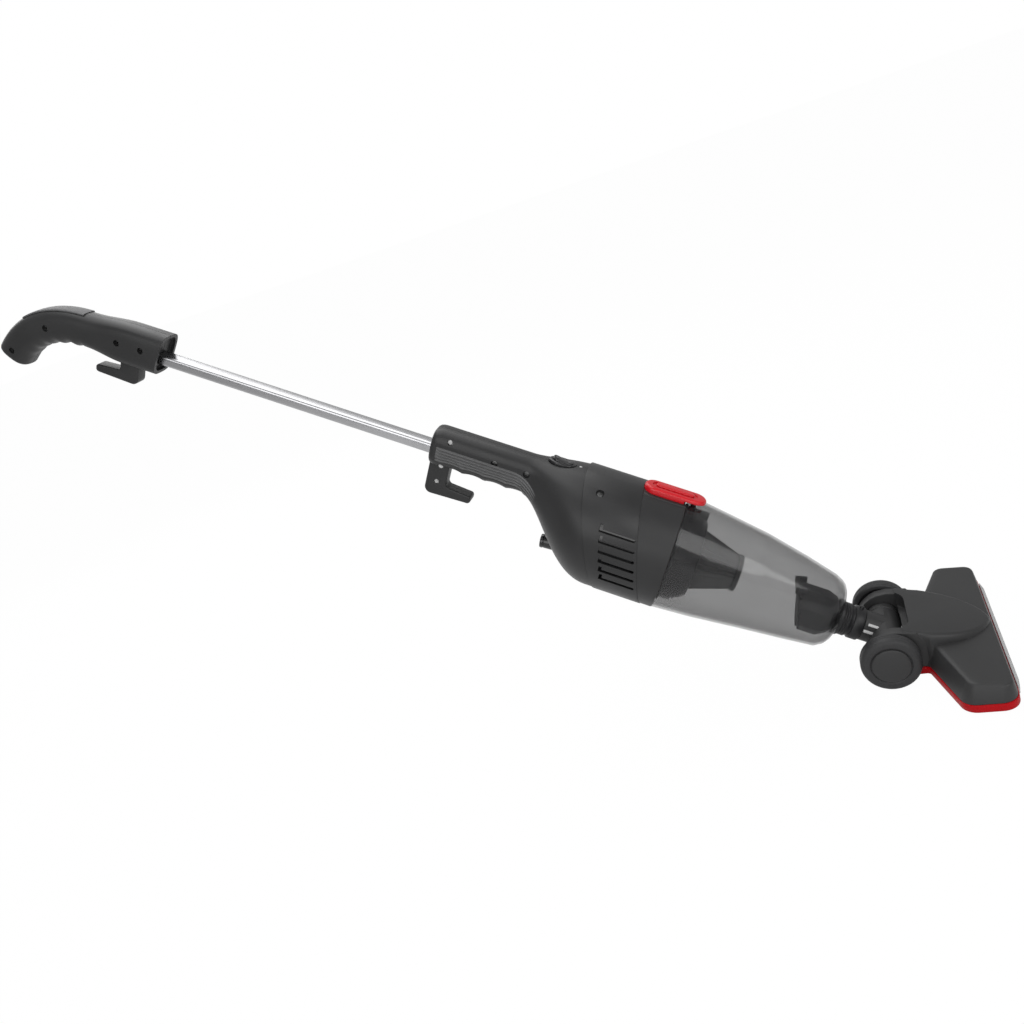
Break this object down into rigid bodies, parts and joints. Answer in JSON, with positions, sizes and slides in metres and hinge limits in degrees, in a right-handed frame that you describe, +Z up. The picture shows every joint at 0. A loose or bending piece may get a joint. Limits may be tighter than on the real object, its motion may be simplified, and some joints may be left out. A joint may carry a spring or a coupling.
{
  "type": "corded stick vacuum cleaner",
  "caption": "Corded two-in-one stick vacuum cleaner: hook handle on a bright pole, hand unit with motor and clear dust cup, swivel neck, and a wide floor head on wheels.",
  "frame": {"origin": "on the floor, under the middle of the front sole strip", "axes": "+X forward over the floor head, +Z up, +Y to the left side; the stick lies back at 33 degrees from the floor"},
  "size_m": [0.8967, 0.2226, 0.5619],
  "materials": {
    "charcoal_plastic": "fine satin grain",
    "black_plastic": "semi gloss",
    "soft_grey_rubber": "soft matt",
    "bright_steel": "bright plated",
    "plain_steel": "plain",
    "copper_winding": "lacquered copper windings on a steel core",
    "red_plastic": "semi gloss",
    "smoked_clear_plastic": "clear gloss, smoke tint",
    "filter_cloth": "pleated matt cloth",
    "rubber": "matt",
    "pale_grey_plastic": "satin"
  },
  "bodies": {
    "hand_unit": {"rear_housing_left": "charcoal_plastic", "rear_housing_right": "charcoal_plastic", "grip_insert_left": "soft_grey_rubber", "grip_insert_right": "soft_grey_rubber", "motor_casing": "charcoal_plastic", "intake_bulkhead": "black_plastic", "motor_can": "plain_steel", "motor_end_bell": "black_plastic", "carbon_brush_left": "black_plastic", "carbon_brush_right": "black_plastic", "fan_shroud": "plain_steel", "diffuser_plate": "black_plastic", "front_motor_mount": "rubber", "rear_motor_mount": "rubber", "switch_bezel": "black_plastic", "switch_body": "black_plastic", "cord_gland": "black_plastic", "button_pin": "plain_steel", "latch_leaf": "pale_grey_plastic"},
    "pole_and_handle": {"pole": "bright_steel", "handle_shell_left": "charcoal_plastic", "handle_shell_right": "charcoal_plastic", "handle_top_pad": "soft_grey_rubber", "upper_cord_hook": "charcoal_plastic"},
    "rotor": {"armature": "copper_winding", "impeller": "pale_grey_plastic"},
    "rocker": {"power_rocker": "black_plastic"},
    "button": {"release_button": "red_plastic"},
    "cup": {"dust_cup": "smoked_clear_plastic", "inlet_duct": "black_plastic", "flap_pin": "plain_steel"},
    "flap": {"inlet_flap": "rubber"},
    "filter": {"filter_ring": "black_plastic", "filter_seal": "rubber", "filter_cone": "filter_cloth", "filter_end_cap": "black_plastic"},
    "neck": {"neck_tube": "charcoal_plastic", "neck_o_ring": "rubber"},
    "knuckle": {"swivel_knuckle": "charcoal_plastic", "wheel_axle": "plain_steel"},
    "wheel_left_body": {"wheel_left": "black_plastic", "hub_cap_left": "charcoal_plastic"},
    "wheel_right_body": {"wheel_right": "black_plastic", "hub_cap_right": "charcoal_plastic"},
    "head": {"head_top_shell": "charcoal_plastic", "head_base_plate": "red_plastic", "front_bumper": "pale_grey_plastic", "front_sole_strip": "rubber", "rear_sole_strip": "rubber", "base_screw_1": "plain_steel", "base_screw_2": "plain_steel", "base_screw_3": "plain_steel", "base_screw_4": "plain_steel"}
  },
  "joints": [
    {"name": "pole_pull", "type": "slide", "parent": "hand_unit", "child": "pole_and_handle", "axis": [-0.8387, 0, 0.5446], "range_m": [0, 0.07]},
    {"name": "motor_spin", "type": "hinge", "parent": "hand_unit", "child": "rotor", "pos_m": [-0.29613, 0, 0.18387], "axis": [0.8387, 0, -0.5446], "continuous": true},
    {"name": "power_switch", "type": "hinge", "parent": "hand_unit", "child": "rocker", "pos_m": [-0.32413, 0, 0.26745], "axis": [0, -1, 0], "range_deg": [0, 12]},
    {"name": "release_press", "type": "hinge", "parent": "hand_unit", "child": "button", "pos_m": [-0.23147, 0, 0.20448], "axis": [0, -1, 0], "range_deg": [0, 4], "stiffness_Nm_per_rad": 0.5, "springref_deg": -1.15, "deforming": ["latch_leaf"]},
    {"name": "cup_slide", "type": "slide", "parent": "hand_unit", "child": "cup", "axis": [0.8387, 0, -0.5446], "range_m": [0, 0.08], "deforming": ["latch_leaf"]},
    {"name": "flap_swing", "type": "hinge", "parent": "cup", "child": "flap", "pos_m": [-0.14104, 0, 0.09336], "axis": [0, 1, 0], "range_deg": [0, 60]},
    {"name": "filter_pull", "type": "slide", "parent": "hand_unit", "child": "filter", "axis": [0.8387, 0, -0.5446], "range_m": [0, 0.02]},
    {"name": "neck_pull", "type": "slide", "parent": "cup", "child": "neck", "axis": [0.8387, 0, -0.5446], "range_m": [0, 0.03]},
    {"name": "swivel", "type": "hinge", "parent": "neck", "child": "knuckle", "pos_m": [-0.09832, 0, 0.04229], "axis": [0.8387, 0, -0.5446], "range_deg": [-60, 60]},
    {"name": "wheel_left_roll", "type": "hinge", "parent": "knuckle", "child": "wheel_left_body", "pos_m": [-0.074, 0.051, 0.0265], "axis": [0, 1, 0], "continuous": true},
    {"name": "wheel_right_roll", "type": "hinge", "parent": "knuckle", "child": "wheel_right_body", "pos_m": [-0.074, -0.051, 0.0265], "axis": [0, 1, 0], "continuous": true},
    {"name": "head_pitch", "type": "hinge", "parent": "knuckle", "child": "head", "pos_m": [-0.074, 0, 0.0265], "axis": [0, 1, 0], "range_deg": [-35, 33]}
  ]
}
